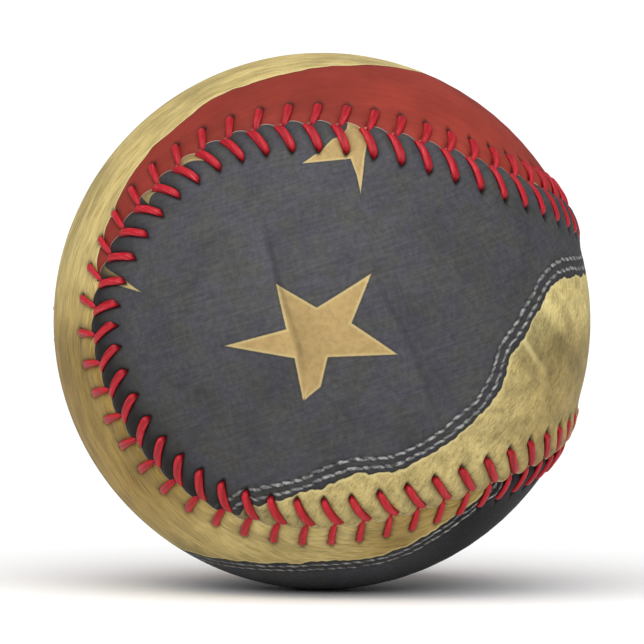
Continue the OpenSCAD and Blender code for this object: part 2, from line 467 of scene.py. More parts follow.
def set_uv(obj, values):
    corners = np.empty(len(obj.data.loops), dtype=np.int64)
    obj.data.loops.foreach_get("vertex_index", corners)
    uv = np.asarray(values, dtype=np.float32)[corners]
    obj.data.uv_layers.active.data.foreach_set("uv", uv.ravel())


def set_attribute(obj, name, values):
    """Stores a number or a vector for each point, for the materials to read."""
    values = np.asarray(values, dtype=np.float32)
    kind = "FLOAT" if values.ndim == 1 else "FLOAT_VECTOR"
    layer = obj.data.attributes.new(name, kind, "POINT")
    layer.data.foreach_set("value" if kind == "FLOAT" else "vector", values.ravel())


def enclosed_volume(mesh):
    """Six times the volume of a closed mesh, negative where its faces point inwards."""
    mesh.calc_loop_triangles()
    points = np.empty(len(mesh.vertices) * 3)
    mesh.vertices.foreach_get("co", points)
    corners = np.empty(len(mesh.loop_triangles) * 3, dtype=np.int64)
    mesh.loop_triangles.foreach_get("vertices", corners)
    a, b, c = points.reshape(-1, 3)[corners.reshape(-1, 3)].transpose(1, 0, 2)
    return np.einsum("ij,ij->", a, np.cross(b, c))


def close_wrap(obj):
    """Merges the points where a wrapped grid meets itself, and turns its faces outwards."""
    bpy.ops.object.mode_set(mode="EDIT")
    bpy.ops.mesh.select_all(action="SELECT")
    bpy.ops.mesh.remove_doubles(threshold=5e-8)
    bpy.ops.mesh.select_all(action="DESELECT")
    bpy.ops.mesh.select_non_manifold(use_multi_face=False, use_non_contiguous=False, use_verts=False)
    bpy.ops.object.mode_set(mode="OBJECT")
    if obj.data.total_edge_sel:
        raise RuntimeError(f"{obj.name} is left open at {obj.data.total_edge_sel} edges")
    if enclosed_volume(obj.data) < 0:
        bpy.ops.object.mode_set(mode="EDIT")
        bpy.ops.mesh.select_all(action="SELECT")
        bpy.ops.mesh.flip_normals()
        bpy.ops.object.mode_set(mode="OBJECT")
    bpy.ops.object.shade_smooth()


def dress(obj, finish):
    """Gives a piece one material."""
    obj.data.materials.clear()
    obj.data.materials.append(finish)


def stand_for(obj, node):
    """Lets a piece stand for a CAD node, and move with the ball."""
    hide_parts(node)
    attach(obj, "root")


# Shader building


def put(tree, socket, value):
    """Links a socket to another, or sets its value."""
    if isinstance(value, bpy.types.NodeSocket):
        tree.links.new(value, socket)
    else:
        socket.default_value = value


def maths(tree, operation, *values):
    node = tree.nodes.new("ShaderNodeMath")
    node.operation = operation
    for socket, value in zip(node.inputs, values):
        put(tree, socket, value)
    return node.outputs[0]


def vector_maths(tree, operation, *values):
    node = tree.nodes.new("ShaderNodeVectorMath")
    node.operation = operation
    for socket, value in zip(node.inputs, values):
        put(tree, socket, value)
    return node.outputs["Value" if operation == "DOT_PRODUCT" else "Vector"]


def between(tree, value, low, high, first=0.0, last=1.0):
    """Smooth change from first to last as a value goes from low to high."""
    node = tree.nodes.new("ShaderNodeMapRange")
    node.interpolation_type = "SMOOTHSTEP"
    for socket, item in zip(node.inputs, (value, low, high, first, last)):
        put(tree, socket, item)
    return node.outputs[0]


def mix(tree, factor, first, second, blend="MIX"):
    node = tree.nodes.new("ShaderNodeMix")
    node.data_type = "RGBA"
    node.blend_type = blend
    put(tree, node.inputs[0], factor)
    for socket, value in zip((node.inputs[6], node.inputs[7]), (first, second)):
        put(tree, socket, value if isinstance(value, bpy.types.NodeSocket) else (*value, 1.0))
    return node.outputs[2]


def mix_value(tree, factor, first, second):
    """Mix of two values."""
    node = tree.nodes.new("ShaderNodeMix")
    node.data_type = "FLOAT"
    for index, value in ((0, factor), (2, first), (3, second)):
        put(tree, node.inputs[index], value)
    return node.outputs[0]


def shade(tree, tint, amount):
    """A colour made darker or lighter by a value."""
    node = tree.nodes.new("ShaderNodeCombineColor")
    for socket in node.inputs[:3]:
        put(tree, socket, amount)
    return mix(tree, 1.0, tint, node.outputs[0], "MULTIPLY")


def times(tint, amount):
    """A plain colour made darker or lighter."""
    return tuple(amount * part for part in tint)


def noise(tree, vector, scale, detail=3.0, roughness=0.55, distortion=0.0):
    node = tree.nodes.new("ShaderNodeTexNoise")
    put(tree, node.inputs["Vector"], vector)
    node.inputs["Scale"].default_value = scale
    node.inputs["Detail"].default_value = detail
    node.inputs["Roughness"].default_value = roughness
    node.inputs["Distortion"].default_value = distortion
    return node.outputs["Fac"]


def stretched(tree, vector, scale, turn=0.0):
    """Coordinates turned, and then scaled each way, to lay a pattern along a direction."""
    node = tree.nodes.new("ShaderNodeMapping")
    node.vector_type = "TEXTURE"
    put(tree, node.inputs["Vector"], vector)
    node.inputs["Scale"].default_value = tuple(1 / part for part in scale)
    node.inputs["Rotation"].default_value = (0.0, 0.0, turn)
    return node.outputs["Vector"]


def stored(tree, name, output="Fac"):
    """What a mesh stores for each point under a name."""
    node = tree.nodes.new("ShaderNodeAttribute")
    node.attribute_name = name
    return node.outputs[output]


def split(tree, vector):
    """The parts of a vector, by axis."""
    node = tree.nodes.new("ShaderNodeSeparateXYZ")
    put(tree, node.inputs[0], vector)
    return node.outputs


def plus(tree, first, second, weight):
    """Sum of a value and a share of another."""
    return maths(tree, "ADD", first, maths(tree, "MULTIPLY", second, weight))


def wobble(tree, place, scale, detail, roughness, amount):
    """Noise on both sides of zero."""
    centred = maths(tree, "SUBTRACT", noise(tree, place, scale, detail, roughness), 0.5)
    return maths(tree, "MULTIPLY", centred, amount)


def tinted(tree, factor, tint, by):
    """A colour multiplied by another, as far as a factor says."""
    return mix(tree, factor, tint, mix(tree, 1.0, tint, by, "MULTIPLY"))


def crease(tree, name):
    """Distance from a fold, and how deep the fold still is there."""
    parts = split(tree, stored(tree, name, "Vector"))
    return parts["X"], parts["Y"]


def new_group(name, inputs, outputs):
    """A shader node group, its inputs by name and the sockets of its results."""
    tree = bpy.data.node_groups.new(name, "ShaderNodeTree")
    for label, kind in inputs.items():
        tree.interface.new_socket(name=label, in_out="INPUT", socket_type="NodeSocket" + kind)
    for label in outputs:
        tree.interface.new_socket(name=label, in_out="OUTPUT", socket_type="NodeSocketFloat")
    return tree, tree.nodes.new("NodeGroupInput").outputs, tree.nodes.new("NodeGroupOutput").inputs


def use_group(tree, group, **values):
    """Places a node group, with its inputs set by name."""
    node = tree.nodes.new("ShaderNodeGroup")
    node.node_tree = group
    for name, value in values.items():
        put(tree, node.inputs[name.replace("_", " ").capitalize()], value)
    return node.outputs


def new_material(name):
    """A material, its node tree and its shader."""
    material = bpy.data.materials.new(name)
    material.use_nodes = True
    return material, material.node_tree, material.node_tree.nodes["Principled BSDF"]


def bump(tree, shader, height, strength, distance):
    node = tree.nodes.new("ShaderNodeBump")
    node.inputs["Strength"].default_value = strength
    node.inputs["Distance"].default_value = distance
    put(tree, node.inputs["Height"], height)
    tree.links.new(node.outputs["Normal"], shader.inputs["Normal"])


# Effects of the print


def star_arm_group():
    """Distance from one arm of a star, inside its two edges and the cuts from its hollows to its middle."""
    labels = ("Edge a", "Edge b", "Cut a", "Cut b")
    inputs = dict.fromkeys(("Place", *labels), "Vector")
    tree, given, result = new_group("Star arm", inputs, ["Distance"])
    lines = [vector_maths(tree, "DOT_PRODUCT", given["Place"], given[label]) for label in labels]
    edges = maths(tree, "MAXIMUM", lines[0], lines[1])
    cuts = maths(tree, "MAXIMUM", lines[2], lines[3])
    put(tree, result["Distance"], maths(tree, "MAXIMUM", edges, cuts))
    return tree


def sewn_row_group():
    """A row of sewn stitches beside an edge: its thread, the pits between its stitches and its height."""
    inputs = dict.fromkeys(("Distance", "Run", "Offset", "Shift", "Worn"), "Float")
    tree, given, result = new_group("Sewn row", inputs, ["Thread", "Pit", "Height"])
    off = maths(tree, "SUBTRACT", given["Distance"], given["Offset"])
    shifted = maths(tree, "ADD", given["Run"], given["Shift"])
    slanted = plus(tree, shifted, off, 1.1)
    phase = maths(tree, "PINGPONG", slanted, 0.8)
    across = maths(tree, "ABSOLUTE", off)
    half_width = between(tree, phase, 0.2, 0.8, 0.36, 0.24)
    body = between(tree, maths(tree, "DIVIDE", across, half_width), 0.4, 1.0, 1.0, 0.0)
    bead = maths(tree, "MULTIPLY", body, between(tree, phase, 0.15, 0.75, 1.0, 0.22))
    put(tree, result["Thread"], maths(tree, "MULTIPLY", bead, given["Worn"]))
    between_beads = between(tree, phase, 0.35, 0.8)
    pit = maths(tree, "MULTIPLY", between_beads, between(tree, across, 0.25, 0.75, 1.0, 0.0))
    put(tree, result["Pit"], pit)
    trough = between(tree, across, 0.1, 0.8, -0.8, 0.0)
    put(tree, result["Height"], plus(tree, trough, bead, 1.8))
    return tree


def woven_group():
    """Fine cloth: uneven threads both ways, fading in blotches."""
    tree, given, result = new_group("Woven cloth", {"Place": "Vector"}, ["Weave", "Blotch", "Fleck"])
    warp = noise(tree, stretched(tree, given["Place"], (0.22, 2.6, 1.0), 0.3), 1.0, 3.0, 0.65)
    weft = noise(tree, stretched(tree, given["Place"], (2.6, 0.35, 1.0), 0.3), 1.0, 3.0, 0.65)
    weave = plus(tree, maths(tree, "MULTIPLY", warp, 0.65), weft, 0.35)
    put(tree, result["Weave"], weave)
    put(tree, result["Blotch"], noise(tree, given["Place"], 0.11, 4.0, 0.6, 0.4))
    put(tree, result["Fleck"], noise(tree, given["Place"], 1.3, 3.0, 0.7))
    return tree


def fibre_group():
    """Brushed fibres that lie along one direction, in tufts and folds."""
    inputs = {"Place": "Vector", "Turn": "Float", "Curl": "Float"}
    tree, given, result = new_group("Brushed fibres", inputs, ["Fine", "Tuft", "Fold"])
    rotate = tree.nodes.new("ShaderNodeVectorRotate")
    rotate.rotation_type = "Z_AXIS"
    put(tree, rotate.inputs["Vector"], given["Place"])
    put(tree, rotate.inputs["Angle"], given["Turn"])
    turned = rotate.outputs["Vector"]
    bend = tree.nodes.new("ShaderNodeCombineXYZ")
    put(tree, bend.inputs["Y"], maths(tree, "MULTIPLY", noise(tree, turned, 0.1, 2.0), 3.5))
    lay = vector_maths(tree, "ADD", turned, bend.outputs["Vector"])
    shorten = tree.nodes.new("ShaderNodeCombineXYZ")
    put(tree, shorten.inputs["X"], given["Curl"])
    shorten.inputs["Y"].default_value = 1.0
    shorten.inputs["Z"].default_value = 1.0
    lay = vector_maths(tree, "MULTIPLY", lay, shorten.outputs["Vector"])
    put(tree, result["Fine"], noise(tree, stretched(tree, lay, (0.26, 4.4, 1.0)), 1.0, 4.0, 0.72))
    put(tree, result["Tuft"], noise(tree, stretched(tree, lay, (0.07, 1.2, 1.0)), 1.0, 4.0, 0.66, 0.3))
    put(tree, result["Fold"], noise(tree, stretched(tree, lay, (0.05, 0.2, 1.0)), 1.0, 2.0, 0.5, 0.6))
    return tree


def line_through(a, b, inside):
    """A line as (normal x, normal y, offset), negative on the side of the given point."""
    normal = np.array((b[1] - a[1], a[0] - b[0]))
    normal /= np.linalg.norm(normal)
    offset = -normal @ a
    line = np.array((*normal, offset))
    return -line if normal @ inside + offset > 0 else line


def star_corners(middle, turn):
    """Points and hollows of a star in turn."""
    angles = np.radians(turn + 36 * np.arange(10))
    reach = np.where(np.arange(10) % 2 == 0, 1.0, STAR_HOLLOW)
    corners = np.stack((np.cos(angles) * STAR_REACH[0], np.sin(angles) * STAR_REACH[1]), axis=-1)
    return np.asarray(middle) + corners * reach[:, None]


def star_arms(corners):
    """Arms of a star of ten corners: hollow, point, hollow and middle."""
    corners = np.asarray(corners, dtype=float)
    middle = corners[1::2].mean(axis=0)
    return [(corners[k - 1], corners[k], corners[k + 1], middle) for k in range(0, 10, 2)]


def arm_distance(tree, group, place, arms):
    """Distance from the nearest of some star arms, in millimetres, negative inside."""
    nearest = None
    for arm in arms:
        before, tip, after, middle = np.asarray(arm, dtype=float)
        inside = (tip + before + after) / 3
        # The arms lap over each other at the middle of their star
        lap = np.array((0.0, 0.0, -1.5))
        distance = use_group(
            tree, group, place=place,
            edge_a=line_through(before, tip, inside),
            edge_b=line_through(tip, after, inside),
            cut_a=line_through(middle, before, inside) + lap,
            cut_b=line_through(middle, after, inside) + lap,
        )["Distance"]
        nearest = distance if nearest is None else maths(tree, "MINIMUM", nearest, distance)
    return nearest


# Materials


def brushed_ground(tree, colours, groups, place, look):
    """Aged cloth with brushed fibres: its colour and its relief."""
    fibres = use_group(tree, groups["fibres"], place=place, turn=look["turn"], curl=look["curl"])
    tint = mix(tree, between(tree, fibres["Tuft"], 0.34, 0.58), colours.ground_dark, colours.ground)
    rubbed = maths(tree, "MULTIPLY", between(tree, fibres["Fine"], 0.38, 0.66), 0.7)
    tint = mix(tree, rubbed, tint, colours.ground_light)
    tint = shade(tree, tint, between(tree, fibres["Fold"], 0.34, 0.62, 0.8, 1.1))
    # A fold with a shaded valley starts under the hem of the field and dies out away from it
    fold, depth = crease(tree, "ground_fold")
    hem = stored(tree, "field")
    valley = between(tree, fold, 0.5, 8.0, 0.64, 1.0)
    valley = mix_value(tree, between(tree, fold, -0.3, 1.0), 1.0, valley)
    depth = maths(tree, "MULTIPLY", depth, between(tree, hem, 5.0, 16.0, 1.0, 0.25))
    tint = shade(tree, tint, mix_value(tree, depth, 1.0, valley))
    beside = maths(tree, "ABSOLUTE", maths(tree, "ADD", fold, 1.5))
    tint = shade(tree, tint, mix_value(tree, depth, 1.0, between(tree, beside, 0.2, 1.7, 0.82, 1.0)))
    # A second fold is a soft dark line only
    waist_fold, waist_depth = crease(tree, "waist_fold")
    line = between(tree, maths(tree, "ABSOLUTE", waist_fold), 0.1, 2.4, 0.68, 1.0)
    tint = shade(tree, tint, mix_value(tree, waist_depth, 1.0, line))
    # The first fold is rubbed pale along its crest
    crest = between(tree, maths(tree, "ABSOLUTE", fold), 0.1, 0.7, 1.0, 0.0)
    crest = maths(tree, "MULTIPLY", crest, between(tree, hem, 2.0, 8.0, 0.7, 0.0))
    crest = maths(tree, "MULTIPLY", crest, depth)
    tint = mix(tree, crest, tint, colours.ground_light)
    # The left panel is browner just below its waist and darker under the ball, where the darkening is
    # painted shade; the right one is browner towards its waist
    parts = split(tree, place)
    off = maths(tree, "ABSOLUTE", maths(tree, "ADD", parts["X"], 16.0))
    # Painted shade: the ground of the left panel darkens as it runs under the ball
    under = between(tree, parts["X"], -66.0, -54.0, 0.85, 0.0)
    low = maths(tree, "MAXIMUM", between(tree, off, 8.0, 28.0, 1.0, 0.15), under)
    low = maths(tree, "MULTIPLY", low, look["low_browned_and_shaded"])
    waist = between(tree, parts["X"], 18.0, 34.0, 0.0, look["waist_browned"])
    tint = tinted(tree, maths(tree, "ADD", low, waist), tint, BROWNING_AND_SHADE)
    # Paler beside the upper hem of the right panel and over the crown of the left one
    tint = tinted(tree, between(tree, parts["Y"], -4.0, 3.0), tint, look["upper"])
    tint = tinted(tree, between(tree, parts["X"], 40.0, 80.0), tint, look["crown"])
    blotch = noise(tree, place, 0.2, 3.0, 0.6)
    tint = shade(tree, tint, between(tree, blotch, 0.3, 0.7, 0.9 * look["tone"], 1.1 * look["tone"]))
    relief = maths(tree, "ADD", fibres["Fine"], fibres["Tuft"])
    return tint, plus(tree, relief, fibres["Fold"], 4.0)


def red_stripe(tree, colours, place):
    """Red of the stripes, streaked along the cloth."""
    streak = noise(tree, stretched(tree, place, (0.1, 1.4, 1.0)), 1.0, 4.0, 0.65)
    blotch = noise(tree, place, 0.12, 3.0, 0.6)
    tint = mix(tree, between(tree, streak, 0.3, 0.75), times(colours.red, 0.91), times(colours.red, 1.09))
    tint = shade(tree, tint, between(tree, split(tree, place)["X"], 46.0, 80.0, 0.94, 1.22))
    return shade(tree, tint, between(tree, blotch, 0.3, 0.7, 0.9, 1.1))


def starred_field(tree, colours, groups, place, arms, fray):
    """Faded blue cloth with stars: its colour and its relief."""
    cloth = use_group(tree, groups["woven"], place=place)
    worn = between(tree, cloth["Blotch"], 0.15, 0.6)
    blue = mix(tree, worn, colours.navy_dark, colours.navy)
    blue = shade(tree, blue, between(tree, cloth["Weave"], 0.32, 0.68, 0.82, 1.18))
    hue = between(tree, noise(tree, place, 0.3, 3.0, 0.6), 0.36, 0.64)
    warm_or_cold = mix(tree, hue, (1.03, 1.03, 0.92), (0.97, 0.97, 1.07))
    blue = mix(tree, 1.0, blue, warm_or_cold, "MULTIPLY")
    blue = shade(tree, blue, between(tree, cloth["Fleck"], 0.3, 0.7, 0.86, 1.14))
    nearest = arm_distance(tree, groups["arm"], place, arms)
    thread = between(tree, cloth["Fleck"], 0.35, 0.65)
    gold = mix(tree, thread, times(colours.star, 0.9), times(colours.star, 1.08))
    rim = maths(tree, "MULTIPLY", between(tree, nearest, -0.5, -0.1), 0.3)
    gold = mix(tree, rim, gold, colours.ground_light)
    edge = plus(tree, nearest, fray, 0.6)
    blue = shade(tree, blue, between(tree, edge, 0.05, 0.5, 0.8, 1.0))
    tint = mix(tree, between(tree, edge, -0.1, 0.1, 1.0, 0.0), blue, gold)
    for name in ("star_fold", "side_fold"):
        fold, depth = crease(tree, name)
        line = between(tree, maths(tree, "ABSOLUTE", fold), 0.05, 0.75, 0.7, 1.0)
        lit_side = between(tree, fold, -3.5, -0.5, 1.0, 1.09)
        dark_side = between(tree, fold, 0.2, 6.0, 0.87, 1.0)
        sides = mix_value(tree, between(tree, fold, -0.3, 0.3), lit_side, dark_side)
        tint = shade(tree, tint, mix_value(tree, depth, 1.0, maths(tree, "MULTIPLY", line, sides)))
    relief = plus(tree, cloth["Weave"], cloth["Blotch"], 2.0)
    return tint, maths(tree, "ADD", relief, between(tree, edge, -0.2, 0.2, 0.35, 0.0))


def sewn_hem(tree, colours, groups, place, field, blue):
    """Two sewn rows along the edge of the blue field: its colour and its relief."""
    line = maths(tree, "ADD", stored(tree, "field"), wobble(tree, place, 0.3, 2.0, 0.55, 0.8))
    run = plus(tree, stored(tree, "field_run"), noise(tree, place, 0.7, 2.0), 2.2)
    worn = between(tree, noise(tree, place, 1.1, 3.0), 0.36, 0.62, 0.28, 1.0)
    rows = [
        use_group(tree, groups["sewn"], distance=line, run=run, offset=offset, shift=shift, worn=worn)
        for offset, shift in ((-1.05, 0.0), (-2.45, 0.7))
    ]
    blue = shade(tree, blue, between(tree, field, -3.6, -2.2, 1.0, 0.72))
    blue = shade(tree, blue, between(tree, field, -0.55, -0.1, 1.0, 0.6))
    pits = maths(tree, "MAXIMUM", rows[0]["Pit"], rows[1]["Pit"])
    blue = shade(tree, blue, between(tree, pits, 0.0, 1.0, 1.0, 0.6))
    thread = maths(tree, "MAXIMUM", rows[0]["Thread"], rows[1]["Thread"])
    relief = maths(tree, "ADD", rows[0]["Height"], rows[1]["Height"])
    return mix(tree, thread, blue, colours.sewing), relief


def cover_material(name, colours, groups, arms, look):
    """Printed leather: the blue field with its stars and sewn hem, the red stripes and the ground."""
    material, tree, shader = new_material(name)
    place = stored(tree, "flat", "Vector")
    waves = wobble(tree, place, 0.33, 1.5, 0.5, 1.6)
    fray = wobble(tree, place, 3.0, 2.0, 0.55, 0.16)
    ragged = maths(tree, "ADD", waves, fray)
    uneven = plus(tree, stored(tree, "field_run"), waves, 1.5)
    puckers = between(tree, maths(tree, "PINGPONG", uneven, 0.8), 0.0, 0.8, -0.06, 0.06)
    field = maths(tree, "ADD", stored(tree, "field"), maths(tree, "ADD", ragged, puckers))
    stripe = plus(tree, stored(tree, "stripe"), ragged, 0.7)

    ground, fibre_relief = brushed_ground(tree, colours, groups, place, look)
    nearest = maths(tree, "MINIMUM", field, stripe)
    rim = maths(tree, "MULTIPLY", between(tree, nearest, 0.05, 0.6, 1.0, 0.0), 0.6)
    ground = mix(tree, rim, ground, colours.ground_light)
    red = shade(tree, red_stripe(tree, colours, place), between(tree, stripe, -0.45, -0.05, 1.0, 0.6))
    ground = mix(tree, between(tree, stripe, -0.12, 0.12, 1.0, 0.0), ground, red)
    blue, cloth_relief = starred_field(tree, colours, groups, place, arms, fray)
    # Painted shade: the field of the left panel darkens as it runs under the ball
    blue = shade(tree, blue, between(tree, split(tree, place)["X"], -80.0, -62.0, look["under_field_shade"], 1.0))
    blue, hem_relief = sewn_hem(tree, colours, groups, place, field, blue)
    in_field = between(tree, field, -0.1, 0.1, 1.0, 0.0)
    tint = mix(tree, in_field, ground, blue)
    # Painted shade: dark in the stitch holes, beside the stitches, along the seam and on the underside
    tint = mix(tree, stored(tree, "painted_shade"), tint, colours.seam_shade_tint)
    tint = mix(tree, stored(tree, "cut"), tint, colours.cut_edge)
    tree.links.new(tint, shader.inputs["Base Color"])

    in_stripe = between(tree, stripe, -0.3, 0.1, 0.35, 1.0)
    fibre_relief = maths(tree, "MULTIPLY", fibre_relief, in_stripe)
    cloth_relief = plus(tree, hem_relief, cloth_relief, 0.6)
    relief = mix_value(tree, in_field, fibre_relief, maths(tree, "ADD", cloth_relief, 2.6))
    grain = noise(tree, place, 4.5, 3.0, 0.6)
    bump(tree, shader, plus(tree, relief, grain, 0.4), 0.45, 0.1 * MM)
    tree.links.new(between(tree, grain, 0.3, 0.7, 0.55, 0.7), shader.inputs["Roughness"])
    shader.inputs["Specular IOR Level"].default_value = 0.14
    return material


def thread_material(colours):
    """Waxed thread: two plies of drawn fibres, with painted shade where they meet and painted highlights on
    top.
    """
    material, tree, shader = new_material("waxed lacing thread")
    uv = tree.nodes.new("ShaderNodeUVMap").outputs["UV"]
    ply = stored(tree, "ply")
    hairs = noise(tree, stretched(tree, uv, (0.5, 22.0, 1.0), 0.05), 1.0, 3.0, 0.65)
    wax = noise(tree, stretched(tree, uv, (0.35, 3.0, 1.0)), 1.0, 2.0)
    dark, light = times(colours.thread, 0.72), times(colours.thread, 1.1)
    tint = mix(tree, between(tree, hairs, 0.3, 0.65), dark, light)
    # Painted highlight streaks, in patches and only on the crowns of the plies
    highlight_patches = between(tree, wax, 0.4, 0.65, 0.0, 0.75)
    rubbed = maths(tree, "MULTIPLY", between(tree, hairs, 0.52, 0.74), highlight_patches)
    rubbed = maths(tree, "MULTIPLY", rubbed, between(tree, ply, 0.3, 0.9))
    tint = mix(tree, rubbed, tint, colours.thread_highlight)
    # Painted shade in the groove where the plies meet, and a little painted light on their crowns
    tint = shade(tree, tint, between(tree, ply, 0.0, 0.8, 0.68, 1.06))
    tree.links.new(tint, shader.inputs["Base Color"])
    bump(tree, shader, hairs, 0.6, 0.12 * MM)
    tree.links.new(between(tree, hairs, 0.2, 0.8, 0.5, 0.36), shader.inputs["Roughness"])
    shader.inputs["Specular IOR Level"].default_value = 0.24
    return material


def yarn_material(name, tint):
    """Wound yarn: twisted plies and stray fibres."""
    material, tree, shader = new_material(name)
    uv = tree.nodes.new("ShaderNodeUVMap").outputs["UV"]
    parts = split(tree, uv)
    twist = plus(tree, maths(tree, "MULTIPLY", parts["X"], 90.0), parts["Y"], 2.0)
    ply = maths(tree, "PINGPONG", twist, 0.5)
    fibres = noise(tree, stretched(tree, uv, (400.0, 24.0, 1.0), 0.01), 1.0, 3.0, 0.65)
    lit = mix(tree, between(tree, fibres, 0.3, 0.7), times(tint, 0.75), times(tint, 1.15))
    # Painted shade in the grooves where the plies meet
    tree.links.new(shade(tree, lit, between(tree, ply, 0.0, 0.25, 0.5, 1.0)), shader.inputs["Base Color"])
    bump(tree, shader, maths(tree, "ADD", ply, fibres), 0.6, 0.2 * MM)
    tree.links.new(between(tree, fibres, 0.2, 0.8, 0.8, 0.95), shader.inputs["Roughness"])
    return material


def moulded_material(name, tint, grain_scale, contrast):
    """Moulded cork, rubber or dried cement: grains of two sizes."""
    material, tree, shader = new_material(name)
    place = tree.nodes.new("ShaderNodeTexCoord").outputs["Object"]
    grains = tree.nodes.new("ShaderNodeTexVoronoi")
    put(tree, grains.inputs["Vector"], place)
    grains.inputs["Scale"].default_value = grain_scale
    fine = noise(tree, place, grain_scale * 4, 3.0, 0.6)
    shade_of = plus(tree, grains.outputs["Distance"], fine, 0.5)
    lit = mix(tree, between(tree, shade_of, 0.2, 1.0), times(tint, 1 + contrast), times(tint, 1 - contrast))
    tree.links.new(lit, shader.inputs["Base Color"])
    bump(tree, shader, shade_of, 0.3, 0.15 * MM)
    tree.links.new(between(tree, fine, 0.3, 0.7, 0.6, 0.8), shader.inputs["Roughness"])
    return material


# Operators


class BALL_OT_pill(bpy.types.Operator):
    """Finishes the moulded pieces: the cork core, its rubber shells and the cement under the leather"""

    bl_idname = "ball.pill"
    bl_label = "Moulded pieces"

    def execute(self, context):
        colours = context.scene.ball_colours
        black = moulded_material("black rubber", colours.black_rubber, 900.0, 0.2)
        red = moulded_material("red rubber", colours.red_rubber, 900.0, 0.15)
        finishes = {
            "cork_core": moulded_material("moulded cork", colours.cork, 700.0, 0.45),
            "upper_black_shell": black,
            "lower_black_shell": black,
            "black_shell_gasket": red,
            "left_red_shell": red,
            "right_red_shell": red,
            "cement_coat": moulded_material("dried cement", colours.cement, 260.0, 0.12),
        }
        for node, finish in finishes.items():
            dress(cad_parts[node], finish)
        return {"FINISHED"}


class BALL_OT_windings(bpy.types.Operator):
    """Winds the four layers of yarn: turns of each yarn laid round the ball in many directions"""

    bl_idname = "ball.windings"
    bl_label = "Yarn windings"

    def execute(self, context):
        colours = context.scene.ball_colours
        grey = yarn_material("grey wool yarn", colours.grey_yarn)
        white = yarn_material("white wool yarn", colours.white_yarn)
        cotton = yarn_material("cotton yarn", colours.cotton)
        # Each winding, what it is wound on, the width of its yarn in millimetres, its finish and slot
        layers = (
            ("coarse_grey_wool", "left_red_shell", 1.3, grey, "grey_wool"),
            ("white_wool", "coarse_grey_wool", 0.9, white, "white_wool"),
            ("fine_grey_wool", "white_wool", 0.9, grey, "grey_wool"),
            ("cotton_winding", "fine_grey_wool", 0.32, cotton, "cotton"),
        )
        for node, inside, yarn, finish, slot in layers:
            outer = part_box(node)[1][2]
            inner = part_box(inside)[1][2]
            winding = self.wind("wound_" + node, inner, outer, yarn * MM)
            dress(winding, finish)
            stand_for(winding, node)
        return {"FINISHED"}

    def wind(self, name, inner, outer, yarn):
        """A layer of yarn on a closed bed, with its turns on great circles spread evenly in direction."""
        start_clean()
        bpy.ops.mesh.primitive_uv_sphere_add(segments=96, ring_count=48, radius=outer - yarn * 0.6)
        layer = bpy.context.object
        layer.name = name
        layer.data.name = name
        bpy.ops.object.mode_set(mode="EDIT")
        bpy.ops.mesh.select_all(action="DESELECT")
        bpy.ops.mesh.primitive_uv_sphere_add(segments=96, ring_count=48, radius=inner)
        bpy.ops.mesh.flip_normals()
        bpy.ops.object.mode_set(mode="OBJECT")
        start_clean()
        bpy.ops.mesh.primitive_torus_add(
            major_segments=72, minor_segments=6, major_radius=outer - yarn / 2, minor_radius=yarn / 2
        )
        first_turn = bpy.context.object
        golden = math.pi * (3 - math.sqrt(5))
        copies = []
        for k in range(YARN_TURNS):
            height = (k + 0.5) / YARN_TURNS
            flat = math.sqrt(1 - height * height)
            axis = Vector((flat * math.cos(golden * k), flat * math.sin(golden * k), height))
            turn = first_turn.copy()
            turn.data = first_turn.data.copy()
            sunk = Matrix.Scale(1 - YARN_SINK * yarn / outer * (k % 4), 4)
            turn.data.transform(axis.to_track_quat("Z", "Y").to_matrix().to_4x4() @ sunk)
            bpy.context.collection.objects.link(turn)
            copies.append(turn)
        bpy.data.objects.remove(first_turn, do_unlink=True)
        for turn in copies:
            turn.select_set(True)
        layer.select_set(True)
        bpy.context.view_layer.objects.active = layer
        bpy.ops.object.join()
        bpy.ops.object.shade_smooth()
        return layer


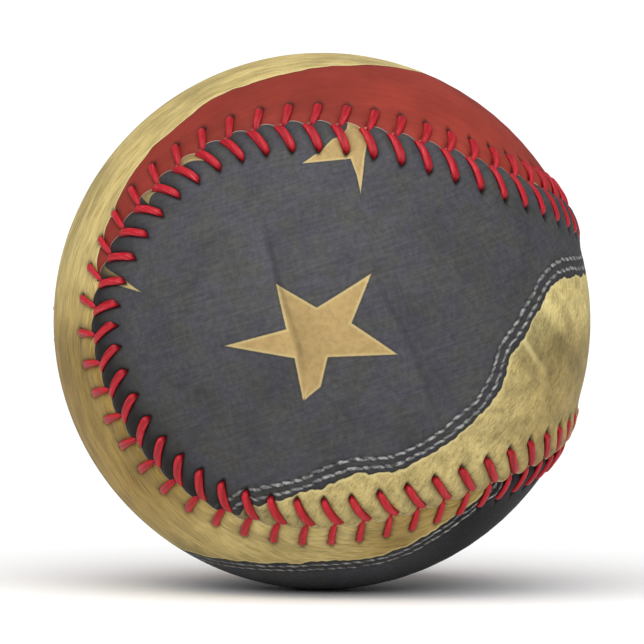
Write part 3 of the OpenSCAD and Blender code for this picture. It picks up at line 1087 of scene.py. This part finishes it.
class BALL_OT_cover(bpy.types.Operator):
    """Models the two leather panels, drawn in at every stitch, and prints them"""

    bl_idname = "ball.cover"
    bl_label = "Leather cover"

    def execute(self, context):
        sizes = context.scene.ball_sizes
        colours = context.scene.ball_colours
        groups = {
            "arm": star_arm_group(),
            "sewn": sewn_row_group(),
            "woven": woven_group(),
            "fibres": fibre_group(),
        }
        right_arms = [*star_arms(MIDDLE_STAR), *RIGHT_ARMS]
        left_arms = [arm for star in LEFT_STARS for arm in star_arms(star_corners(*star))]
        # Lay of the fibres, how far the ground has browned, with painted shade under the ball, and how far
        # it has paled, its tone, and the painted shade on the field under the ball
        right_look = {
            "turn": math.radians(-62), "curl": 6.0, "low_browned_and_shaded": 0.0, "waist_browned": 0.52,
            "upper": (1.62, 1.76, 1.98), "crown": PLAIN, "tone": 0.93, "under_field_shade": 1.0,
        }
        left_look = {
            "turn": math.radians(4), "curl": 1.3, "low_browned_and_shaded": 1.0, "waist_browned": 0.0,
            "upper": PLAIN, "crown": (1.08, 1.12, 1.3), "tone": 1.03, "under_field_shade": 0.12,
        }
        for side, name, slot, arms, look in (
            (1, "right_cover_panel", "navy_leather", right_arms, right_look),
            (-1, "left_cover_panel", "striped_leather", left_arms, left_look),
        ):
            panel = self.model_panel(sizes, side, "printed_" + name)
            dress(panel, cover_material("printed " + slot, colours, groups, arms, look))
            stand_for(panel, name)
        return {"FINISHED"}

    def rings(self):
        """Distance from the edge, share of the way to the middle line and side of the leather, by row."""
        under_share = 1 - np.arange(UNDER_MIDDLE_RINGS) / UNDER_MIDDLE_RINGS
        face_share = (np.arange(FACE_MIDDLE_RINGS) + 1) / FACE_MIDDLE_RINGS
        under_middle = np.full(UNDER_MIDDLE_RINGS, UNDER_RINGS[0])
        face_middle = np.full(FACE_MIDDLE_RINGS, FACE_RINGS[-1])
        setback = np.concatenate((under_middle, UNDER_RINGS, FACE_RINGS, face_middle))
        inwards = np.concatenate((under_share, np.zeros(len(UNDER_RINGS) + len(FACE_RINGS)), face_share))
        under = np.arange(len(setback)) < UNDER_MIDDLE_RINGS + len(UNDER_RINGS)
        return setback * MM, inwards, under

    def model_panel(self, sizes, side, name):
        """One panel as a grid that runs from the middle of its underside, round its edge, to its face."""
        radius = sizes.cover_radius
        pitch = stitch_pitch(sizes)
        columns = STITCHES * COLUMNS_PER_STITCH
        row_setback, row_inwards, row_under = self.rings()
        panel, column, row = add_grid(name, columns, len(row_setback) - 1)
        setback, inwards, under = row_setback[row], row_inwards[row], row_under[row]
        stitch = column / COLUMNS_PER_STITCH
        share = seam_share(stitch)
        along = (stitch - 0.5 - np.rint(stitch - 0.5)) * pitch
        out, _, across = seam_frames(share)
        # Between the stitches the edge of the right panel bows out over the left one
        bulge = np.abs(np.sin(math.pi * (along - sizes.right_lead) / pitch))
        bow = sizes.scallop * bulge * hump(setback / MM, 1.5)
        turn = (side * setback - bow) / radius
        place = out * np.cos(turn)[:, None] + across * np.sin(turn)[:, None]
        to_middle = inwards[:, None]
        opposite = middle_line(side, seam_angle(stitch / STITCHES))
        place = unit(place * (1 - to_middle) + opposite * to_middle)
        thickness = sizes.skived + (sizes.leather - sizes.skived) * step(*SKIVE_SPAN, setback / MM)
        rise = leather_rise(sizes, side, setback, along) * (1 - inwards)
        rise = np.where(under, ridge(sizes, setback) * (1 - inwards) - thickness, rise)
        place_points(panel, place * (radius + rise)[:, None])
        set_uv(panel, np.stack((column / columns, row / len(row_setback)), axis=-1))

        # Painted shade: in the stitch holes, beside the stitches and along the seam, and all over the
        # underside
        painted_shade = seam_shading(sizes, side, setback, along, stitch) * (1 - inwards)
        set_attribute(panel, "painted_shade", np.where(under, 0.9, painted_shade))
        # The cut edge shows pale where it bows out
        pale = (0.75 if side > 0 else 0.25) * bulge * (1 - step(0.04, 0.2, setback / MM))
        set_attribute(panel, "cut", np.where(under, 0.0, pale))
        close_wrap(panel)
        self.lay_out_print(panel, side, radius)
        return panel

    def lay_out_print(self, panel, side, radius):
        """Stores each point's place on the flat panel and its distances from the lines of the print."""
        points = points_of(panel)
        flat = panel_flat(side, points, radius)
        set_attribute(panel, "flat", flat)

        def distance(curve):
            return curve_distance(points, panel_direction(side, smooth_curve(curve)), radius)

        field, run = distance(RIGHT_FIELD_EDGE if side > 0 else LEFT_FIELD_EDGE)
        # Past the ends of its edge the side that a point lies on has no meaning, and there is no field
        beyond = flat[:, 0] > (RIGHT_FIELD_END if side > 0 else LEFT_FIELD_END)
        set_attribute(panel, "field", np.where(beyond, np.abs(field), field))
        set_attribute(panel, "field_run", run)
        if side > 0:
            stripe = np.abs(np.abs(flat[:, 1]) - LOBE_STRIPE_OFFSET) - LOBE_STRIPE_HALF
            start_line = LOBE_STRIPE_START + LOBE_STRIPE_SLANT * flat[:, 1]
            stripe = np.maximum(stripe, start_line - flat[:, 0])
            for name, (curve, start, end, depth) in FOLDS.items():
                off, at = distance(curve)
                depth = depth * step(0, start, at) * (1 - step(at.max() - end, at.max(), at))
                set_attribute(panel, name, np.stack((off, depth, np.zeros_like(off)), axis=-1))
        else:
            first = distance(LEFT_STRIPE_EDGE)[0]
            second = -distance(BACK_STRIPE_EDGE)[0]
            stripe = np.minimum(first, second)
            # Both stripes run out into the seam above the waist
            stripe = np.where(flat[:, 0] < LEFT_STRIPE_START, np.abs(stripe), stripe)
        set_attribute(panel, "stripe", stripe)


class BALL_OT_lacing(bpy.types.Operator):
    """Models the two strands of thread, each over and under from hole to hole all round the seam"""

    bl_idname = "ball.lacing"
    bl_label = "Lacing"

    # One stitch from its hole to the seam: share of the way, height above the leather in millimetres, and
    # half its width and thickness, which are then scaled to the width that is set for the thread
    LEG = (
        (0.0, -1.5, 0.42, 0.33), (0.012, -0.85, 0.5, 0.36), (0.035, -0.25, 0.58, 0.39),
        (0.09, 0.02, 0.64, 0.41), (0.22, 0.08, 0.67, 0.42), (0.42, 0.09, 0.68, 0.42),
        (0.62, 0.04, 0.67, 0.42), (0.78, -0.06, 0.65, 0.4), (0.9, -0.2, 0.63, 0.38),
        (0.97, -0.5, 0.55, 0.36), (0.985, -1.05, 0.4, 0.33), (0.94, -1.55, 0.34, 0.28),
    )
    # Rings of the thread for each of those places
    STEPS = 2

    def execute(self, context):
        sizes = context.scene.ball_sizes
        material = thread_material(context.scene.ball_colours)
        for strand, name in enumerate(("first_lacing_strand", "second_lacing_strand")):
            thread = self.model_strand(sizes, strand, "twisted_" + name)
            dress(thread, material)
            stand_for(thread, name)
        return {"FINISHED"}

    def strand_path(self, sizes, strand):
        """Middles, half widths, half heights and level directions along the whole strand."""
        radius = sizes.cover_radius
        widest = max(leg[2] for leg in self.LEG) * 2 * MM
        swell = sizes.thread_width / widest
        share, height, wide, high = np.array(self.LEG).T
        setback = sizes.hole_setback * (1 - share)
        stitches = []
        for i in range(STITCHES):
            side = 1 if (i + strand) % 2 == 0 else -1
            out, along, across = (d[0] for d in seam_frames(seam_share(np.array([i + 0.5]))))
            lean = leg_along(sizes, side, setback)
            place = unit(out + (lean[:, None] * along + side * setback[:, None] * across) / radius)
            level = radius + ridge(sizes, setback) + height * MM
            flat = np.broadcast_to(along, place.shape)
            # A right stitch narrows a little towards its hole, and a left one towards the seam
            fullness, taper = (1.0, 0.08) if side > 0 else (0.88, -0.3)
            tapered = wide * fullness * (1 + taper * (share - 0.5)) * MM * swell
            stitches.append(np.column_stack((place * level[:, None], tapered, high * MM * swell, flat)))
        rows = np.concatenate(stitches)
        t = (np.arange(self.STEPS) / self.STEPS)[:, None, None]
        fine = through(
            np.roll(rows, 1, axis=0), rows, np.roll(rows, -1, axis=0), np.roll(rows, -2, axis=0), t
        )
        return fine.transpose(1, 0, 2).reshape(-1, rows.shape[1])

    def model_strand(self, sizes, strand, name):
        """One strand as a grid wrapped into a closed tube of two twisted plies."""
        path = self.strand_path(sizes, strand)
        count = len(path)
        thread, column, row = add_grid(name, count, THREAD_SIDES)
        centre, wide, high, flat = path[:, :3], path[:, 3], path[:, 4], path[:, 5:]
        to_next = np.roll(centre, -1, axis=0) - centre
        ahead = unit(to_next)
        heading = unit(ahead + np.roll(ahead, 1, axis=0))
        level = unit(flat - np.einsum("ij,ij->i", flat, heading)[:, None] * heading)
        upright = np.cross(heading, level)
        run = np.concatenate(([0.0], np.cumsum(np.linalg.norm(to_next, axis=1)))) / MM
        whole_turns = round(run[-1] / PLY_TURN)
        at = column % count
        angle = 2 * math.pi * (row % THREAD_SIDES) / THREAD_SIDES
        ply = np.abs(np.cos(angle - 2 * math.pi * whole_turns * run[column] / run[-1]))
        # The thread is thinner where its plies meet
        plump = 1 - 0.2 * (1 - ply) ** 1.5
        points = (
            centre[at]
            + (plump * wide[at] * np.cos(angle))[:, None] * level[at]
            + (plump * high[at] * np.sin(angle))[:, None] * upright[at]
        )
        place_points(thread, points)
        set_uv(thread, np.stack((run[column], row / THREAD_SIDES), axis=-1))
        set_attribute(thread, "ply", ply)
        close_wrap(thread)
        return thread


class BALL_OT_stage(bpy.types.Operator):
    """Sets the floor, the soft light and the camera"""

    bl_idname = "ball.stage"
    bl_label = "Studio stage"

    def execute(self, context):
        scene = context.scene
        radius = scene.ball_sizes.cover_radius
        self.lay_floor(context, radius)
        self.light(context)
        self.place_camera(context, radius)
        scene.view_settings.view_transform = "Standard"
        return {"FINISHED"}

    def lay_floor(self, context, radius):
        start_clean()
        bpy.ops.mesh.primitive_circle_add(
            vertices=96, radius=FLOOR_RADIUS, fill_type="NGON", location=(0, 0, -radius - FLOOR_GAP)
        )
        floor = context.object
        floor.name = "studio_floor"
        material, _, shader = new_material("studio floor")
        shader.inputs["Base Color"].default_value = (*context.scene.ball_colours.floor, 1.0)
        shader.inputs["Roughness"].default_value = 0.9
        dress(floor, material)

    def light(self, context):
        world = bpy.data.worlds.new("soft studio")
        context.scene.world = world
        world.use_nodes = True
        tree = world.node_tree
        sky = tree.nodes["Background"]
        sky.inputs["Color"].default_value = (1, 1, 1, 1)
        seen = tree.nodes.new("ShaderNodeLightPath").outputs["Is Camera Ray"]
        tree.links.new(between(tree, seen, 0.0, 1.0, SKY_LIGHT, SKY_SEEN), sky.inputs["Strength"])
        for name, energy, angle, aim in LIGHTS:
            start_clean()
            bpy.ops.object.light_add(type="SUN", location=(0, 0, 1))
            lamp = context.object
            lamp.name = name
            lamp.data.energy = energy
            lamp.data.angle = math.radians(angle)
            lamp.rotation_euler = Vector(aim).to_track_quat("-Z", "Y").to_euler()

    def place_camera(self, context, radius):
        start_clean()
        back = Vector(CAMERA_SIDE).normalized()
        bpy.ops.object.camera_add(location=back * CAMERA_DISTANCE * radius)
        camera = context.object
        camera.name = "photo camera"
        aim = (-back).to_track_quat("-Z", "Y").to_matrix()
        camera.rotation_euler = (aim @ Matrix.Rotation(math.radians(CAMERA_ROLL), 3, "Z")).to_euler()
        camera.data.sensor_width = CAMERA_FILM
        camera.data.lens = CAMERA_LENS
        camera.data.shift_y = CAMERA_SHIFT
        camera.data.clip_start = 0.01
        context.scene.camera = camera


class BALL_PT_panel(bpy.types.Panel):
    """Lists the pieces of the ball and the sizes and colours they are made from"""

    bl_idname = "BALL_PT_panel"
    bl_label = "Laced baseball"
    bl_space_type = "VIEW_3D"
    bl_region_type = "UI"
    bl_category = "Baseball"

    def draw(self, context):
        layout = self.layout
        for operator in OPERATORS:
            layout.operator(operator.bl_idname)
        for group in (context.scene.ball_sizes, context.scene.ball_colours):
            box = layout.box()
            for name in group.bl_rna.properties.keys():
                if name not in {"rna_type", "name"}:
                    box.prop(group, name)


OPERATORS = (BALL_OT_pill, BALL_OT_windings, BALL_OT_cover, BALL_OT_lacing, BALL_OT_stage)
CLASSES = (BallSizes, BallColours, *OPERATORS, BALL_PT_panel)


def register():
    for item in CLASSES:
        bpy.utils.register_class(item)
    bpy.types.Scene.ball_sizes = bpy.props.PointerProperty(type=BallSizes)
    bpy.types.Scene.ball_colours = bpy.props.PointerProperty(type=BallColours)


def unregister():
    del bpy.types.Scene.ball_colours
    del bpy.types.Scene.ball_sizes
    for item in reversed(CLASSES):
        bpy.utils.unregister_class(item)


def main():
    register()
    bpy.ops.ball.pill()
    bpy.ops.ball.windings()
    bpy.ops.ball.cover()
    bpy.ops.ball.lacing()
    bpy.ops.ball.stage()


if __name__ == "__main__":
    main()
